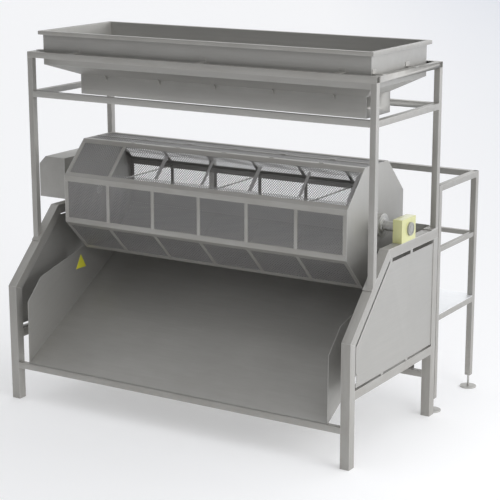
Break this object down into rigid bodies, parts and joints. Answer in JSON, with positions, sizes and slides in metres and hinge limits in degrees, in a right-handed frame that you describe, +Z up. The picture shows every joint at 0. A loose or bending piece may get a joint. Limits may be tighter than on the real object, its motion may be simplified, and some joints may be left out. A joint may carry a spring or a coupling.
{
  "type": "rotary drum machine",
  "caption": "Octagonal perforated drum in end frames, with a feed hopper above, a discharge chute below and a railed operator platform behind.",
  "frame": {"origin": "on the floor under the middle of the overall box", "axes": "+X along the drum towards the open shaft end, +Y from the chute towards the platform, +Z up"},
  "size_m": [3.6, 2.3892, 3.125],
  "materials": {
    "brushed_stainless": "brushed",
    "sheet_stainless": "satin",
    "perforated_stainless": "satin",
    "yellow_paint": "satin",
    "turned_steel": "turned",
    "grey_plastic": "matte",
    "sign_yellow": "satin",
    "black_rubber": "matte",
    "motor_paint": "satin",
    "cast_pulley": "matte",
    "deck_stainless": "bright"
  },
  "bodies": {
    "frame": {"chute_floor": "sheet_stainless", "chute_left_wall": "sheet_stainless", "chute_right_wall": "sheet_stainless", "chute_warning_sign": "sign_yellow", "drive_backplate": "sheet_stainless", "drive_belt": "black_rubber", "drive_cover": "sheet_stainless", "drive_gearmotor": "motor_paint", "frame_left_front_leg": "brushed_stainless", "frame_left_rear_leg": "brushed_stainless", "frame_left_side_panel": "sheet_stainless", "frame_left_side_rail": "brushed_stainless", "frame_left_sloped_rail": "brushed_stainless", "frame_left_top_rail": "brushed_stainless", "frame_rear_panel": "sheet_stainless", "frame_right_front_leg": "brushed_stainless", "frame_right_rear_leg": "brushed_stainless", "frame_right_side_panel": "sheet_stainless", "frame_right_side_rail": "brushed_stainless", "frame_right_sloped_rail": "brushed_stainless", "frame_right_top_rail": "brushed_stainless", "front_cross_rail": "brushed_stainless", "hopper_body": "sheet_stainless", "hopper_brackets": "brushed_stainless", "hopper_gussets": "brushed_stainless", "hopper_outlet_skirt": "sheet_stainless", "hopper_posts": "brushed_stainless", "hopper_rim": "brushed_stainless", "hopper_second_ring": "brushed_stainless", "hopper_top_ring": "brushed_stainless", "left_bearing_block": "yellow_paint", "platform_deck_frame": "brushed_stainless", "platform_deck_sheet": "deck_stainless", "platform_foot_discs": "brushed_stainless", "platform_foot_stems": "turned_steel", "platform_link_brackets": "brushed_stainless", "platform_mid_rail": "brushed_stainless", "platform_short_legs": "brushed_stainless", "platform_tall_posts": "brushed_stainless", "platform_top_rail": "brushed_stainless", "post_base_plates": "brushed_stainless", "rear_high_cross_rail": "brushed_stainless", "rear_low_cross_rail": "brushed_stainless", "right_bearing_block": "yellow_paint", "right_bearing_cap": "grey_plastic", "shaft_bearings": "turned_steel"},
    "drum": {"drum_edge_angles": "brushed_stainless", "drum_face_panels": "perforated_stainless", "drum_hubs": "turned_steel", "drum_left_end_plate": "sheet_stainless", "drum_left_shaft": "turned_steel", "drum_loading_face_panel": "perforated_stainless", "drum_panel_clips": "brushed_stainless", "drum_ribs": "brushed_stainless", "drum_right_end_plate": "sheet_stainless", "drum_right_shaft": "turned_steel", "drum_tie_rods": "turned_steel", "drum_top_bar": "brushed_stainless", "drive_drum_pulley": "cast_pulley"},
    "motor_rotor": {"drive_pinion_pulley": "turned_steel"}
  },
  "joints": [
    {"name": "drum_spin", "type": "hinge", "parent": "frame", "child": "drum", "pos_m": [0, -0.22575, 1.696], "axis": [1, 0, 0], "continuous": true},
    {"name": "motor_spin", "type": "hinge", "parent": "frame", "child": "motor_rotor", "pos_m": [-1.5675, -0.00975, 1.8], "axis": [1, 0, 0], "continuous": true}
  ],
  "couplings": [
    {"joint": "motor_spin", "follows": "drum_spin", "ratio": 2}
  ]
}
